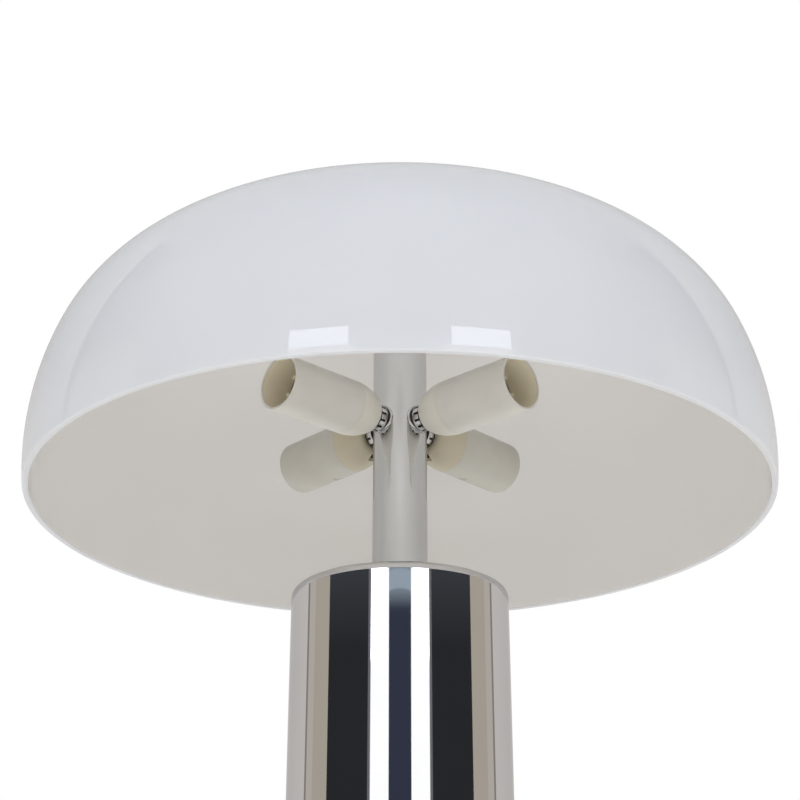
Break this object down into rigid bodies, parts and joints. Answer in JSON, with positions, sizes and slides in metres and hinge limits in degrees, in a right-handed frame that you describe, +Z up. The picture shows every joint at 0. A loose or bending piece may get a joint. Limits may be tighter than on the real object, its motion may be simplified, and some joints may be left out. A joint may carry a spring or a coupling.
{
  "type": "table lamp",
  "caption": "Mushroom table lamp: opal acrylic dome that lifts off a chromed stem, a cross of small screw lampholders under it, and a wide chromed tube as base.",
  "frame": {"origin": "on the table, under the lamp's axis", "axes": "+Z up along the stem, -Y towards the viewer of the picture, the cord inlet at +Y"},
  "size_m": [0.38, 0.38, 0.4865],
  "materials": {
    "chrome": "polished chrome plate",
    "opal_acrylic": "polished opal acrylic",
    "cream_plastic": "satin cream thermoplastic",
    "core_plastic": "matt thermoplastic",
    "brass": "drawn brass",
    "zinc_steel": "zinc plated",
    "cast_iron": "rough cast",
    "felt": "pressed felt",
    "rubber": "matt rubber",
    "lead_sleeve": "silicone insulation",
    "block_plastic": "matt polyamide",
    "gland_plastic": "matt polyamide"
  },
  "bodies": {
    "base": {"base_tube": "chrome", "tube_lugs": "zinc_steel", "base_plate": "zinc_steel", "base_screws": "zinc_steel", "foot_pad": "felt", "ballast": "cast_iron", "ballast_bolt": "zinc_steel", "terminal_block": "block_plastic", "block_screws": "zinc_steel", "cord_gland": "gland_plastic", "gland_nut": "gland_plastic", "stem": "chrome", "cluster_hub": "brass", "stem_foot": "zinc_steel", "stem_washer": "zinc_steel", "stem_nut": "zinc_steel", "shade_carrier": "chrome", "shade_gasket": "rubber", "shade_stud": "zinc_steel", "saddle_washer_1": "chrome", "collar_1": "chrome", "lampholder_cap_1": "cream_plastic", "lampholder_shell_1": "cream_plastic", "lampholder_core_1": "core_plastic", "screw_shell_1": "brass", "centre_contact_1": "brass", "holder_nipple_1": "zinc_steel", "lead_1": "lead_sleeve", "saddle_washer_2": "chrome", "collar_2": "chrome", "lampholder_cap_2": "cream_plastic", "lampholder_shell_2": "cream_plastic", "lampholder_core_2": "core_plastic", "screw_shell_2": "brass", "centre_contact_2": "brass", "holder_nipple_2": "zinc_steel", "lead_2": "lead_sleeve", "saddle_washer_3": "chrome", "collar_3": "chrome", "lampholder_cap_3": "cream_plastic", "lampholder_shell_3": "cream_plastic", "lampholder_core_3": "core_plastic", "screw_shell_3": "brass", "centre_contact_3": "brass", "holder_nipple_3": "zinc_steel", "lead_3": "lead_sleeve", "saddle_washer_4": "chrome", "collar_4": "chrome", "lampholder_cap_4": "cream_plastic", "lampholder_shell_4": "cream_plastic", "lampholder_core_4": "core_plastic", "screw_shell_4": "brass", "centre_contact_4": "brass", "holder_nipple_4": "zinc_steel", "lead_4": "lead_sleeve"},
    "shade": {"shade": "opal_acrylic"},
    "washer": {"top_washer": "chrome"},
    "finial": {"finial": "chrome"}
  },
  "joints": [
    {"name": "shade_lift", "type": "slide", "parent": "base", "child": "shade", "axis": [0, 0, 1], "range_m": [0, 0.175]},
    {"name": "washer_rise", "type": "slide", "parent": "shade", "child": "washer", "axis": [0, 0, 1], "range_m": [0, 0.006]},
    {"name": "finial_turn", "type": "hinge", "parent": "washer", "child": "finial", "pos_m": [0, 0, 0.478], "axis": [0, 0, 1], "range_deg": [0, 2160]}
  ],
  "couplings": [
    {"joint": "finial_turn", "follows": "washer_rise", "rad_per_m": 6283.2}
  ]
}
